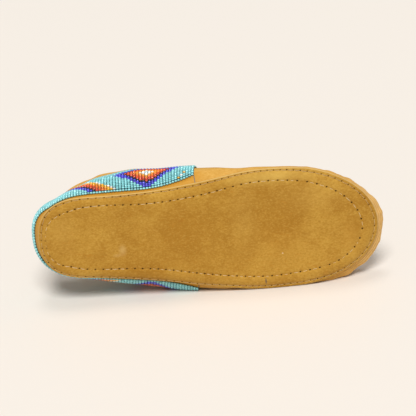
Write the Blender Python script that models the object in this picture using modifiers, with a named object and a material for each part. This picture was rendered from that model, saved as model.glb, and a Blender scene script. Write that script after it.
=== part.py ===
"""Beaded suede moccasin for the left foot, lying on its outer side.

Everything is worked out in the shoe's own frame: X runs along the sole from the back of the heel
to the toe, Y rises from the underside of the sole into the shoe, and Z points across it to the
inner side, where the big toe is. The empty "lying_on_its_side" then lays the whole shoe down.

Places round the shoe are given by a turn from -1 to 1: 0 is the toe, 1 and -1 are the back of the
heel, positive on the inner side and negative on the outer side. A height on the wall is an arc:
the length along the leather, up from the edge of the sole.
"""
import math

import bmesh
import bpy
from mathutils import Vector
from mathutils.geometry import interpolate_bezier

MM = 0.001

# Driving dimensions, in metres.
SOLE_LENGTH = 0.2525
BALL_WIDTH = 0.0959
INSTEP_HEIGHT = 0.064
HEEL_HEIGHT = 0.050            # arc of the leather up the back of the heel
WALL = 1.8 * MM                # suede of the upper
SOLE_THICKNESS = 3.2 * MM
INSOLE_THICKNESS = 2.0 * MM
GAP = 0.3 * MM                 # between pieces that are sewn together
BAND_WIDTH = 29.5 * MM         # nineteen rows of beads and the edging row
BAND_THICKNESS = 1.8 * MM

# Outline of the sole: along as a share of its length, the rest as shares of the ball width.
# "half" is the half width that the sole would have if its ends weren't rounded off.
OUTLINE = (
    # along  centre   half
    (0.00, -0.014, 0.325),
    (0.12, -0.010, 0.333),
    (0.24, -0.015, 0.349),
    (0.36, -0.019, 0.379),
    (0.48, -0.020, 0.427),
    (0.60, -0.006, 0.484),
    (0.68, 0.001, 0.498),
    (0.78, 0.009, 0.487),
    (0.90, 0.007, 0.463),
    (1.00, -0.010, 0.460),
)
HEEL_ROUND = (34 * MM, 2.45)    # length of the rounded end, and the power of its curve
TOE_ROUND = (60 * MM, 2.0)

# Sections of the upper, a row for each station of the outline. The belly is where the wall stands
# furthest out: how far past the sole's edge on each side, and how high, in millimetres. The crown
# is the ridge of the last, as a share of the instep height. Rise and lean steer the leather as it
# leaves the belly, upwards and inwards, and reach how flat it comes to the crown.
SECTIONS = (
    # along  inner  outer  height  crown  rise  lean  reach
    (0.00, 3.9, 3.9, 13.0, 1.22, 0.25, 0.04, 0.50),
    (0.04, -2.4, 2.8, 13.5, 1.22, 0.22, 0.08, 0.50),
    (0.12, 0.4, 3.0, 14.0, 1.22, 0.25, 0.05, 0.50),
    (0.16, 4.2, 4.4, 14.5, 1.22, 0.28, 0.03, 0.50),
    (0.20, 6.2, 6.2, 15.0, 1.22, 0.30, 0.02, 0.50),
    (0.28, 8.4, 8.4, 16.0, 1.20, 0.35, 0.00, 0.50),
    (0.36, 7.6, 9.5, 16.5, 1.17, 0.30, 0.02, 0.50),
    (0.44, 6.8, 10.0, 14.5, 1.10, 0.25, 0.04, 0.50),
    (0.53, 3.8, 9.0, 11.5, 0.99, 0.25, 0.06, 0.45),
    (0.60, -0.5, 5.0, 9.0, 0.90, 0.22, 0.11, 0.40),
    (0.70, -2.0, 4.5, 7.0, 0.78, 0.20, 0.13, 0.40),
    (0.80, -1.9, 7.5, 6.5, 0.66, 0.22, 0.12, 0.45),
    (0.90, -0.6, 7.4, 6.5, 0.55, 0.38, 0.04, 0.50),
    (0.97, 0.2, 6.8, 7.5, 0.49, 0.48, 0.01, 0.54),
    (1.00, 4.3, 4.3, 9.0, 0.46, 0.50, 0.00, 0.55),
)
CROWN_HEEL = 30 * MM           # where the ridge of the last starts and ends, along the sole
CROWN_TOE = 216 * MM
CROWN_INWARD = -3 * MM         # the ridge has sunk towards the side that the shoe lies on

# Arcs up the wall, in millimetres: the lower edge of the band and the collar. The ease is how
# far the plain leather above the stiff band springs back out.
LANES = (
    # along  band  collar  ease
    (0.00, 8.2, 50.0, 1.5),
    (0.03, 5.4, 49.8, 2.5),
    (0.08, 3.6, 49.5, 4.6),
    (0.16, 3.0, 49.0, 4.9),
    (0.25, 3.3, 48.0, 3.2),
    (0.34, 3.5, 47.5, 0.4),
    (0.42, 4.6, 48.4, 0.0),
    (0.47, 7.4, 49.2, 0.0),
)
SEAM_ALONG = 0.466             # side seams, as a share of the sole's length
THROAT_ALONG = 0.610           # front of the throat

# Underside of the sole.
TOE_SPRING = 5.0 * MM
SPRING_START = 0.80
ARCH_LIFT = 1.5 * MM
ARCH_SPAN = (0.30, 0.60)
EDGE_ROUND = 1.0 * MM

UPPER_INSET = 1.2 * MM         # the upper is sewn on this far inside the edge of the sole
UPPER_SEAT = 0.5 * MM          # and this far above its upper face, so that its inner rim clears it
INSOLE_INSET = 3.8 * MM

# The floor in the shoe's own frame. The shoe lies on the outer edge of its sole at the ball of the
# foot and on its soft upper, which is pressed flat there.
LIE_BACK = math.radians(2.0)   # how far the sole's face looks up from level
NOSE_DOWN = math.radians(3.0)  # how far the toe hangs from level
FLOOR_NORMAL = Vector((-math.tan(NOSE_DOWN), -math.tan(LIE_BACK), 1)).normalized()
PRESS_BLEND = 0.8 * MM         # how softly the leather bends into the pressed patch
MIDDLE = (0.1251, 0.0274)      # where the shoe's own origin lies from the middle of the floor

VAMP_STATIONS = 16
THROAT_STATIONS = 8
QUARTER_STATIONS = 18
BAND_ROWS = 6


def smooth_row(table, along):
    """The table's columns at a place along the sole, on a smooth curve through its rows."""
    along = min(max(along, table[0][0]), table[-1][0])
    last = len(table) - 1
    i = max(k for k in range(last) if table[k][0] <= along)
    start, end = table[i], table[i + 1]
    before, after = table[max(i - 1, 0)], table[min(i + 2, last)]
    span = end[0] - start[0]
    t = (along - start[0]) / span
    values = []
    for k in range(1, len(start)):
        slope_in = span * (end[k] - before[k]) / (end[0] - before[0])
        slope_out = span * (after[k] - start[k]) / (after[0] - start[0])
        values.append(start[k] * (2 * t**3 - 3 * t**2 + 1) + slope_in * (t**3 - 2 * t**2 + t)
                      + end[k] * (3 * t**2 - 2 * t**3) + slope_out * (t**3 - t**2))
    return values


def smooth_step(low, high, value):
    t = min(max((value - low) / (high - low), 0), 1)
    return t * t * (3 - 2 * t)


def along_at(turn):
    """Share of the sole's length at a turn, with the stations closer together at both ends."""
    return 0.5 + 0.5 * math.cos(math.pi * turn)


def turn_at(along):
    return math.acos(2 * along - 1) / math.pi


def wrap(turn):
    return (turn + 1) % 2 - 1


def end_round(along):
    """How much of the half width is left at a place, next to a rounded end."""
    share = 1.0
    for distance, (length, power) in ((along * SOLE_LENGTH, HEEL_ROUND),
                                      ((1 - along) * SOLE_LENGTH, TOE_ROUND)):
        if distance < length:
            share *= (1 - (1 - distance / length) ** power) ** (1 / power)
    return share


def outline(turn):
    """Point of the sole's edge in plan, with Y at zero."""
    turn = wrap(turn)
    along = along_at(turn)
    centre, half = smooth_row(OUTLINE, along)
    side = math.copysign(1, turn)
    return Vector((along * SOLE_LENGTH, 0, (centre + side * half * end_round(along)) * BALL_WIDTH))


def outward(turn):
    """Direction square to the sole's edge, level and away from the shoe."""
    step = 0.002
    tangent = (outline(turn + step) - outline(turn - step)).normalized()
    return Vector((tangent.z, 0, -tangent.x))


def spine(turn):
    """Point of the centre line that the sections at this turn run to, in plan."""
    along = along_at(turn)
    centre = smooth_row(OUTLINE, along)[0] * BALL_WIDTH
    return Vector((CROWN_HEEL + (CROWN_TOE - CROWN_HEEL) * along, 0, centre))


def underside(point):
    """Height of the sole's underside, which is flat at the heel and the ball of the foot."""
    along = point.x / SOLE_LENGTH
    spring = TOE_SPRING * max((along - SPRING_START) / (1 - SPRING_START), 0) ** 2
    start, end = ARCH_SPAN
    waist = math.sin(math.pi * min(max((along - start) / (end - start), 0), 1)) ** 2
    return spring + ARCH_LIFT * waist * smooth_step(0, 0.4 * BALL_WIDTH, point.z)


def crown_point(along):
    """Point on the ridge of the last, above the centre line."""
    crown = smooth_row(SECTIONS, along)[3]
    return spine(turn_at(along)) + Vector((0, crown * INSTEP_HEIGHT, CROWN_INWARD))


def crown_slope(along):
    """How steeply the ridge climbs along the shoe."""
    back = crown_point(max(along - 0.01, 0))
    front = crown_point(min(along + 0.01, 1))
    return (front.y - back.y) / (front.x - back.x)


def floor_point():
    """Point of the sole's outer edge that lies on the floor, at the ball of the foot."""
    steps = 200
    edge = min((outline(-i / steps) for i in range(steps)), key=FLOOR_NORMAL.dot)
    return edge + Vector((0, SOLE_THICKNESS - EDGE_ROUND, 0))


def wall_path(turn):
    """Points up the leather at a turn, from the sole's edge over the belly to the crown."""
    along = along_at(turn)
    inner, outer, height, _, rise, lean, reach = smooth_row(SECTIONS, along)
    belly_out = (inner if wrap(turn) > 0 else outer) * MM
    belly_height = height * MM
    up = Vector((0, 1, 0))
    out = outward(turn)
    edge = outline(turn) - out * UPPER_INSET
    edge.y = underside(edge) + SOLE_THICKNESS + UPPER_SEAT
    ridge = crown_point(along)
    belly = edge + out * (belly_out + UPPER_INSET) + up * belly_height
    above = belly.copy()
    above.y = ridge.y
    shoulder = ridge.lerp(above, reach)
    shoulder.y += crown_slope(along) * (shoulder.x - ridge.x)
    leaving = (above - belly) * rise + (ridge - above) * lean
    lower = interpolate_bezier(edge, edge + (belly - edge) * 0.35 + out * belly_out * 0.25,
                               belly - leaving.normalized() * belly_height * 0.4, belly, 16)
    upper = interpolate_bezier(belly, belly + leaving, shoulder, ridge, 40)
    path = lower + upper[1:]
    beads = (GAP + BAND_THICKNESS) * (1 - smooth_step(SEAM_ALONG, SEAM_ALONG + 0.1, along))
    if along >= SEAM_ALONG:
        return press(path, beads)
    low, collar, ease = (arc * MM for arc in smooth_row(LANES, along))
    shares = [max((arc - low - BAND_WIDTH) / (collar - low - BAND_WIDTH), 0)
              for arc in arcs_of(path)]
    path = [point + out * ease * share**2 for point, share in zip(path, shares)]
    return press(path, beads)


def press(path, margin):
    """Lays the points of a path that would lie below the floor flat on it, a margin above."""
    pressed = []
    floor = floor_point()
    for point in path:
        above = (point - floor).dot(FLOOR_NORMAL) - margin
        if above < PRESS_BLEND:
            flat = max(above + PRESS_BLEND, 0) ** 2 / (4 * PRESS_BLEND)
            point = point + FLOOR_NORMAL * (flat - above)
        pressed.append(point)
    return pressed


def arcs_of(path):
    """Length along the path at each of its points."""
    arcs = [0.0]
    for start, end in zip(path, path[1:]):
        arcs.append(arcs[-1] + (end - start).length)
    return arcs


def at_arc(path, arcs, arc):
    """Point of the path at a length along it."""
    arc = min(max(arc, 0), arcs[-1])
    i = max(k for k in range(len(arcs) - 1) if arcs[k] <= arc)
    return path[i].lerp(path[i + 1], (arc - arcs[i]) / (arcs[i + 1] - arcs[i]))


def skin(turn, arc, lift=0.0):
    """Point on the outer face of the upper, or lifted off it along its normal."""
    path = wall_path(turn)
    arcs = arcs_of(path)
    point = at_arc(path, arcs, arc)
    if not lift:
        return point
    step, climb = 0.003, 0.5 * MM
    beside = [wall_path(turn + side * step) for side in (-1, 1)]
    across = at_arc(beside[1], arcs_of(beside[1]), arc) - at_arc(beside[0], arcs_of(beside[0]), arc)
    rising = at_arc(path, arcs, arc + climb) - at_arc(path, arcs, arc - climb)
    return point + rising.cross(across).normalized() * lift


def band_low(turn):
    return smooth_row(LANES, along_at(turn))[0] * MM


def topline(turn):
    """Arc of the upper's top edge: the collar, the rounded throat, or the crown on the vamp."""
    along = along_at(turn)
    crown_arc = arcs_of(wall_path(turn))[-1]
    if along >= THROAT_ALONG:
        return crown_arc
    collar = smooth_row(LANES, along)[1] * MM * HEEL_HEIGHT / (50 * MM)
    forward = max((along - SEAM_ALONG) / (THROAT_ALONG - SEAM_ALONG), 0)
    return crown_arc - (crown_arc - collar) * math.sqrt(1 - forward**2)


def upper_turns():
    """Stations of the upper from toe to heel, with rows that start and end exactly on the seams."""
    throat = turn_at(THROAT_ALONG)
    turns = [throat * i / VAMP_STATIONS for i in range(VAMP_STATIONS)]
    for i in range(THROAT_STATIONS):
        forward = math.cos(math.pi / 2 * i / THROAT_STATIONS)
        turns.append(turn_at(SEAM_ALONG + (THROAT_ALONG - SEAM_ALONG) * forward))
    return turns + quarter_turns()


def quarter_turns():
    seam = turn_at(SEAM_ALONG)
    return [seam + (1 - seam) * i / QUARTER_STATIONS for i in range(QUARTER_STATIONS + 1)]


def band_arcs(turn):
    low = band_low(turn)
    return [low + BAND_WIDTH * i / BAND_ROWS for i in range(BAND_ROWS + 1)]


def upper_arcs(turn):
    """Rows up the wall. On the quarter they follow the band, on the vamp they share the section."""
    band = band_arcs(turn)
    top = topline(turn)
    rows = [0, band[0] / 2] + band + [(band[-1] + top) / 2, top]
    even = [top * i / (len(rows) - 1) for i in range(len(rows))]
    share = 1 - smooth_step(SEAM_ALONG, THROAT_ALONG, along_at(turn))
    return [a + (b - a) * share for a, b in zip(even, rows)]


def half_grid(mesh, side, turns, rows, place):
    """Adds a grid of one side's stations and rows to the mesh, each vertex set by place."""
    across, up = len(turns) - 1, rows - 1
    made = bmesh.ops.create_grid(mesh, x_segments=across, y_segments=up, size=0.5)["verts"]
    for vertex in made:
        i = round((vertex.co.x + 0.5) * across)
        j = round((vertex.co.y + 0.5) * up)
        vertex.co = place(side * turns[i], i, j)


def both_sides(turns, rows, place):
    """The inner and the outer half of a shape, joined where they meet, with normals outwards."""
    mesh = bmesh.new()
    for side in (1, -1):
        half = bmesh.new()
        half_grid(half, side, turns, rows, place)
        if side > 0:
            bmesh.ops.reverse_faces(half, faces=half.faces)
        copy = bpy.data.meshes.new("half")
        half.to_mesh(copy)
        half.free()
        mesh.from_mesh(copy)
        bpy.data.meshes.remove(copy)
    bmesh.ops.remove_doubles(mesh, verts=mesh.verts, dist=0.001 * MM)
    return mesh


def add_piece(name, mesh, colour, roughness):
    """Makes the object, gives it its material and lays it down with the rest of the shoe."""
    data = bpy.data.meshes.new(name)
    mesh.to_mesh(data)
    mesh.free()
    data.shade_smooth()
    data.set_sharp_from_angle(angle=math.radians(40))
    material = bpy.data.materials.new(name)
    material.use_nodes = True
    shader = material.node_tree.nodes["Principled BSDF"]
    shader.inputs["Base Color"].default_value = (*colour, 1)
    shader.inputs["Roughness"].default_value = roughness
    shader.inputs["Metallic"].default_value = 0
    data.materials.append(material)
    piece = bpy.data.objects.new(name, data)
    bpy.data.collections["beaded_moccasin"].objects.link(piece)
    piece.parent = bpy.data.objects["lying_on_its_side"]
    return piece


def thicken(piece, thickness, offset):
    solidify = piece.modifiers.new("wall", "SOLIDIFY")
    solidify.thickness = thickness
    solidify.offset = offset
    solidify.use_even_offset = True
    solidify.use_quality_normals = True


def make_upper():
    turns = upper_turns()
    paths = {}

    def place(turn, i, j):
        if (turn, i) not in paths:
            path = wall_path(turn)
            paths[turn, i] = path, arcs_of(path), upper_arcs(turn)
        path, arcs, rows = paths[turn, i]
        return at_arc(path, arcs, rows[j])

    mesh = both_sides(turns, len(upper_arcs(0)), place)
    thicken(add_piece("upper", mesh, (0.57, 0.29, 0.045), 0.95), WALL, -1)


def make_band():
    turns = quarter_turns()
    rows = {side * turn: band_arcs(turn) for turn in turns for side in (1, -1)}

    def place(turn, i, j):
        return skin(turn, rows[turn][j], GAP)

    mesh = both_sides(turns, BAND_ROWS + 1, place)
    thicken(add_piece("beaded_band", mesh, (0.08, 0.55, 0.62), 0.3), BAND_THICKNESS, 1)


def make_plate(name, inset, floor, thickness, colour):
    """A flat piece with the sole's outline, its upper and lower face a set distance apart."""
    rounding = min(EDGE_ROUND, thickness / 3)
    section = (
        # share of the way out, inset from the edge, height
        (0.00, 0, 0),
        (0.30, 0, 0),
        (0.60, 0, 0),
        (0.85, 0, 0),
        (1.00, rounding, 0),
        (1.00, 0.3 * rounding, 0.3 * rounding),
        (1.00, 0, rounding),
        (1.00, 0, thickness - rounding),
        (1.00, 0.3 * rounding, thickness - 0.3 * rounding),
        (1.00, rounding, thickness),
        (0.85, 0, thickness),
        (0.60, 0, thickness),
        (0.30, 0, thickness),
        (0.00, 0, thickness),
    )

    def place(turn, i, j):
        share, back, height = section[j]
        edge = outline(turn) - outward(turn) * (inset + back)
        point = spine(turn).lerp(edge, share)
        point.y = underside(point) + floor + height
        return point

    stations = 36
    turns = [i / stations for i in range(stations + 1)]
    mesh = both_sides(turns, len(section), place)
    bmesh.ops.recalc_face_normals(mesh, faces=mesh.faces)
    add_piece(name, mesh, colour, 0.95)


def start_scene():
    for item in list(bpy.data.objects):
        bpy.data.objects.remove(item)
    parts = bpy.data.collections.new("beaded_moccasin")
    bpy.context.scene.collection.children.link(parts)
    lying = bpy.data.objects.new("lying_on_its_side", None)
    turned = FLOOR_NORMAL.rotation_difference(Vector((0, 0, 1)))
    lying.rotation_mode = "QUATERNION"
    lying.rotation_quaternion = turned
    along, across = MIDDLE
    lying.location = (-along, -across, -(turned @ floor_point()).z)
    parts.objects.link(lying)


start_scene()
make_plate("sole", 0, 0, SOLE_THICKNESS, (0.55, 0.29, 0.055))
make_plate("insole", INSOLE_INSET, SOLE_THICKNESS + GAP, INSOLE_THICKNESS, (0.62, 0.45, 0.27))
make_upper()
make_band()
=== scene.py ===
"""Looks of the beaded suede moccasin for the left foot, lying on its outer side.

Shapes are worked out in the shoe's own frame, as the solids were: X runs along the sole from the
back of the heel to the toe, Y rises from the underside of the sole into the shoe, and Z points
across it to the inner side. LYING then lays each piece down with its solid.

Places round the shoe are given by a turn from -1 to 1: 0 is the toe, 1 and -1 are the back of the
heel, positive on the inner side and negative on the outer side. A height on the wall is an arc:
the length along the leather, up from the edge of the sole.
"""
import random
from bisect import bisect_left
from functools import lru_cache
from math import acos, copysign, cos, exp, pi, radians, sin, sqrt, tan

import bmesh
import bpy
import numpy as np
from mathutils import Matrix, Vector, noise
from mathutils.geometry import interpolate_bezier
from mathutils.kdtree import KDTree


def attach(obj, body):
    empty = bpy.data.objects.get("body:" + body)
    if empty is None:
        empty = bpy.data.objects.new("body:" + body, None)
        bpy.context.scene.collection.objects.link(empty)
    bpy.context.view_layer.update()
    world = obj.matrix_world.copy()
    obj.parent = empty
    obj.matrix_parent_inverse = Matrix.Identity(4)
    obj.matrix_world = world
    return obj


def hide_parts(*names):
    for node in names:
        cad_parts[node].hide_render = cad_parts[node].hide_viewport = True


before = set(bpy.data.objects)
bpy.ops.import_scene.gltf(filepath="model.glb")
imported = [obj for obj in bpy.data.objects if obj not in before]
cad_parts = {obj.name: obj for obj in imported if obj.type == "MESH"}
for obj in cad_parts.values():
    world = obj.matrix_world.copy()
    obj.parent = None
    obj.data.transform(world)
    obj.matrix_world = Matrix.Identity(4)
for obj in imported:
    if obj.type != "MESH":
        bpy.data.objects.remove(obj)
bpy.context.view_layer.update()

MM = 0.001

# Driving dimensions, in metres, as in the solids.
SOLE_LENGTH = 0.2525
BALL_WIDTH = 0.0959
INSTEP_HEIGHT = 0.064
HEEL_HEIGHT = 0.050
WALL = 1.8 * MM
SOLE_THICKNESS = 3.2 * MM
GAP = 0.3 * MM
BAND_WIDTH = 29.5 * MM
BAND_THICKNESS = 1.8 * MM

# Outline of the sole: along as a share of its length, the rest as shares of the ball width.
OUTLINE = (
    # along  centre   half
    (0.00, -0.014, 0.325),
    (0.12, -0.010, 0.333),
    (0.24, -0.015, 0.349),
    (0.36, -0.019, 0.379),
    (0.48, -0.020, 0.427),
    (0.60, -0.006, 0.484),
    (0.68, 0.001, 0.498),
    (0.78, 0.009, 0.487),
    (0.90, 0.007, 0.463),
    (1.00, -0.010, 0.460),
)
HEEL_ROUND = (34 * MM, 2.45)    # length of the rounded end, and the power of its curve
TOE_ROUND = (60 * MM, 2.0)

# Sections of the upper: how far the belly stands past the sole's edge on each side and how high,
# in millimetres, the crown as a share of the instep height, and how the leather leaves the belly.
SECTIONS = (
    # along  inner  outer  height  crown  rise  lean  reach
    (0.00, 3.9, 3.9, 13.0, 1.22, 0.25, 0.04, 0.50),
    (0.04, -2.4, 2.8, 13.5, 1.22, 0.22, 0.08, 0.50),
    (0.12, 0.4, 3.0, 14.0, 1.22, 0.25, 0.05, 0.50),
    (0.16, 4.2, 4.4, 14.5, 1.22, 0.28, 0.03, 0.50),
    (0.20, 6.2, 6.2, 15.0, 1.22, 0.30, 0.02, 0.50),
    (0.28, 8.4, 8.4, 16.0, 1.20, 0.35, 0.00, 0.50),
    (0.36, 7.1, 9.5, 16.5, 1.17, 0.30, 0.02, 0.50),
    (0.44, 6.8, 10.0, 14.5, 1.10, 0.25, 0.04, 0.50),
    (0.53, 3.8, 9.0, 11.5, 0.99, 0.25, 0.06, 0.45),
    (0.60, -0.5, 5.0, 9.0, 0.90, 0.22, 0.11, 0.40),
    (0.70, -2.0, 4.5, 7.0, 0.78, 0.20, 0.13, 0.40),
    (0.80, -1.9, 7.5, 6.5, 0.66, 0.22, 0.12, 0.45),
    (0.90, -0.6, 7.4, 6.5, 0.55, 0.38, 0.04, 0.50),
    (0.97, 0.2, 6.8, 7.5, 0.49, 0.48, 0.01, 0.54),
    (1.00, 4.3, 4.3, 9.0, 0.46, 0.50, 0.00, 0.55),
)
CROWN_HEEL = 30 * MM           # where the ridge of the last starts and ends, along the sole
CROWN_TOE = 216 * MM
CROWN_INWARD = -3 * MM

# Arcs up the wall, in millimetres: the lower edge of the band and the collar. The ease is how
# far the plain leather above the stiff band springs back out.
LANES = (
    # along  band  collar  ease
    (0.00, 8.2, 50.0, 1.5),
    (0.03, 5.4, 49.8, 3.4),
    (0.08, 3.6, 49.5, 5.2),
    (0.16, 3.0, 49.0, 5.3),
    (0.25, 3.0, 48.0, 3.2),
    (0.34, 2.4, 47.5, 2.2),
    (0.42, 4.4, 48.4, 1.2),
    (0.47, 7.4, 49.2, 0.3),
)
COLLAR_HEEL = 50 * MM          # height of the heel that the arcs of the collar are given for
SEAM_ALONG = 0.466             # side seams, as a share of the sole's length
SEAM_LEAN = 3.6 * MM           # and how far they lean to the toe over the height of the band
THROAT_ALONG = 0.610           # front of the throat
HEM = 3.2 * MM                 # folded hem of the collar and the throat

TOE_SPRING = 5.0 * MM
SPRING_START = 0.80
ARCH_LIFT = 1.5 * MM
ARCH_SPAN = (0.30, 0.60)
EDGE_ROUND = 1.0 * MM
SIDE_ROUND = 0.45 * MM          # rounding of the sole's lower rim
SOLE_ROLL = 1.8 * MM           # how far the sole curls up to its edge, over its stitched margin
ROLL_WIDTH = 9.0 * MM
UPPER_INSET = 1.2 * MM
UPPER_SEAT = 0.5 * MM
INSOLE_INSET = 3.8 * MM

# The floor in the shoe's own frame, and where the shoe lies on it.
LIE_BACK = radians(2.0)
NOSE_DOWN = radians(3.0)
FLOOR_NORMAL = Vector((-tan(NOSE_DOWN), -tan(LIE_BACK), 1)).normalized()
PRESS_BLEND = 0.8 * MM
MIDDLE = (0.1251, 0.0274)

# Two rows of hand stitching hold the sole on: how far in from its edge, and the step of a stitch.
STITCH_ROWS = (
    # along  outer row: inner side, outer side  inner row: inner side, outer side
    #        step of the outer row and of the inner row, mm
    (0.00, 2.1, 2.1, 5.3, 5.3, 6.2, 6.3),
    (0.04, 1.4, 1.6, 7.8, 7.2, 6.2, 6.3),
    (0.08, 1.8, 1.4, 8.5, 8.7, 6.2, 6.1),
    (0.14, 1.0, 1.1, 7.0, 7.8, 6.0, 6.0),
    (0.20, 1.0, 1.1, 6.6, 8.1, 6.0, 5.9),
    (0.30, 1.2, 1.1, 8.3, 9.9, 6.0, 5.8),
    (0.38, 1.6, 0.9, 9.2, 10.2, 6.0, 5.8),
    (0.48, 1.8, 1.1, 9.2, 10.0, 5.6, 5.9),
    (0.60, 1.4, 2.5, 8.6, 10.7, 4.8, 6.4),
    (0.72, 1.5, 2.6, 9.0, 11.0, 4.8, 7.1),
    (0.80, 2.4, 2.8, 9.9, 11.7, 5.2, 7.4),
    (0.90, 2.2, 1.4, 10.4, 10.0, 5.6, 7.7),
    (1.00, 2.8, 2.8, 12.1, 12.1, 6.0, 7.8),
)

# Gathers of the leather round the toe: where they are, how wide and how far they stand out.
GATHERS = (
    # along  side  width  height, mm
    (0.765, -1, 4.0, 1.3),
    (0.850, -1, 6.0, 0.7),
    (0.900, -1, 5.0, 0.8),
    (0.945, -1, 6.0, 0.7),
    (0.988, -1, 5.0, 0.6),
    (0.998, 1, 5.0, 0.5),
    (0.985, 1, 5.5, 0.5),
    (0.960, 1, 5.5, 0.5),
    (0.920, 1, 5.0, 0.5),
    (0.860, 1, 5.0, 0.5),
    (0.790, 1, 6.0, 0.5),
)

# Fine folds where the leather is rolled under the toe: millimetres up from the sole's edge.
FOLD_ARCS = (1.8, 4.0, 6.2, 8.4)

# Soft creases across the vamp, in the shoe's plan: from one point to the other, width and depth.
CREASES = (
    # x0   z0    x1    z1   width depth, mm
    (176, -34, 168, 8, 6.0, 1.3),
    (192, -30, 188, 16, 5.0, 0.9),
    (160, 30, 176, 4, 5.0, 0.9),
    (206, 24, 214, -6, 7.0, 0.8),
    (120, 36, 112, 40, 5.0, 0.7),
)

# Tints of the mesh's own layers, from the lowest up: painted shade on the leather under the beads
# and between folds, painted highlight on the crests of folds, the sole's raw cut edge, and painted
# shade in its stitch holes.
LAYER_TINTS = (
    ("painted_shade", (0.53, 0.245, 0.026, 1)),
    ("painted_crest_highlight", (0.70, 0.46, 0.19, 1)),
    ("cut_edge", (0.66, 0.44, 0.15, 1)),
    ("hole", (0.030, 0.011, 0.002, 1)),
)

# Patches, scuffs and marks on the sole, and a painted highlight along its inner rim at the ball:
# place, stretch across each axis, radius in millimetres, strength and colour.
SOLE_MARKS = (
    ((105, -4), (1, 1, 1.3), 40, 0.25, (0.42, 0.20, 0.022)),
    ((176, -6), (1, 1, 1.2), 34, 0.15, (0.44, 0.20, 0.020)),
    ((232, -6), (1.3, 1, 0.8), 16, 0.28, (0.42, 0.20, 0.025)),
    ((152, 12), (1.6, 1, 0.7), 26, 0.16, (0.55, 0.33, 0.072)),
    ((200, 26), (0.6, 1, 1.2), 24, 0.22, (0.58, 0.35, 0.074)),
    ((18, 4), (1.2, 1, 0.8), 20, 0.16, (0.52, 0.31, 0.070)),
    # Painted highlight: the inner rim at the ball, lighter where the sole curls up towards the
    # light.
    ((174, 42), (0.16, 1, 1), 8, 0.60, (0.64, 0.41, 0.090)),
    ((62, -11), (1.4, 1, 0.9), 6, 0.34, (0.66, 0.45, 0.18)),
    ((58, -15), (1.0, 1, 2.2), 5, 0.22, (0.64, 0.43, 0.17)),
    ((106, 10.5), (0.8, 1, 1.2), 2.6, 0.55, (0.34, 0.13, 0.012)),
    ((180.6, -18.5), (1, 1, 1), 0.9, 0.90, (0.85, 0.72, 0.50)),
    ((167.7, -40.7), (4.0, 1, 1), 3.6, 1.0, (0.09, 0.07, 0.055)),
)

BEAD_ROWS = 19                 # up the main band, above the edging row
BEAD_PITCH = 1.45 * MM         # from bead to bead along the thread
BEAD_ACROSS = 2.15 * MM        # from column to column
EDGING = 1.95 * MM             # edging row and the sewn groove above it


# ---- the shoe's own shape


def smooth_row(table, along):
    """The table's columns at a place along the sole, on a smooth curve through its rows."""
    along = min(max(along, table[0][0]), table[-1][0])
    last = len(table) - 1
    i = max(k for k in range(last) if table[k][0] <= along)
    start, end = table[i], table[i + 1]
    before, after = table[max(i - 1, 0)], table[min(i + 2, last)]
    span = end[0] - start[0]
    t = (along - start[0]) / span
    values = []
    for k in range(1, len(start)):
        slope_in = span * (end[k] - before[k]) / (end[0] - before[0])
        slope_out = span * (after[k] - start[k]) / (after[0] - start[0])
        values.append(start[k] * (2 * t**3 - 3 * t**2 + 1) + slope_in * (t**3 - 2 * t**2 + t)
                      + end[k] * (3 * t**2 - 2 * t**3) + slope_out * (t**3 - t**2))
    return values


def smooth_step(low, high, value):
    """0 below low, 1 above high, and a smooth rise between them."""
    t = min(max((value - low) / (high - low), 0), 1)
    return t * t * (3 - 2 * t)


def bump(distance, width):
    """A soft hump: 1 at no distance, and close to 0 one and a half widths away."""
    return exp(-(distance / width) ** 2 * 2)


def along_at(turn):
    """Place along the sole at a turn, as a share of its length."""
    return 0.5 + 0.5 * cos(pi * turn)


def turn_at(along):
    """The inner side's turn at a place along the sole."""
    return acos(2 * along - 1) / pi


def wrap(turn):
    """The same turn, between -1 and 1."""
    return (turn + 1) % 2 - 1


def end_round(along):
    """Share of the sole's width that the rounded heel or toe leaves."""
    share = 1.0
    for distance, (length, power) in ((along * SOLE_LENGTH, HEEL_ROUND),
                                      ((1 - along) * SOLE_LENGTH, TOE_ROUND)):
        if distance < length:
            share *= (1 - (1 - distance / length) ** power) ** (1 / power)
    return share


@lru_cache(maxsize=None)
def outline(turn):
    """Point of the sole's edge in plan, with Y at zero."""
    turn = wrap(turn)
    along = along_at(turn)
    centre, half = smooth_row(OUTLINE, along)
    side = copysign(1, turn)
    return Vector((along * SOLE_LENGTH, 0, (centre + side * half * end_round(along)) * BALL_WIDTH))


@lru_cache(maxsize=None)
def outward(turn):
    """Direction square to the sole's edge, level and away from the shoe."""
    step = 0.002
    tangent = (outline(turn + step) - outline(turn - step)).normalized()
    return Vector((tangent.z, 0, -tangent.x))


def inset_point(turn, inset):
    """Point in from the sole's edge, with Y at zero."""
    return outline(turn) - outward(turn) * inset


def spine(turn):
    """Point of the centre line that belongs to a turn."""
    along = along_at(turn)
    centre = smooth_row(OUTLINE, along)[0] * BALL_WIDTH
    return Vector((CROWN_HEEL + (CROWN_TOE - CROWN_HEEL) * along, 0, centre))


def shared_spine(turn, places):
    """The nearest of a number of places on the centre line, which both sides of the shoe use, so
    that the seam between the sides closes."""
    return spine(turn_at(round(along_at(turn) * places) / places))


def underside(point):
    """Height of the sole's underside, which is flat at the heel and the ball of the foot."""
    along = point.x / SOLE_LENGTH
    spring = TOE_SPRING * max((along - SPRING_START) / (1 - SPRING_START), 0) ** 2
    start, end = ARCH_SPAN
    waist = sin(pi * min(max((along - start) / (end - start), 0), 1)) ** 2
    return spring + ARCH_LIFT * waist * smooth_step(0, 0.4 * BALL_WIDTH, point.z)


def crown_point(along):
    """Point on the ridge of the last."""
    crown = smooth_row(SECTIONS, along)[3]
    return spine(turn_at(along)) + Vector((0, crown * INSTEP_HEIGHT, CROWN_INWARD))


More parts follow.
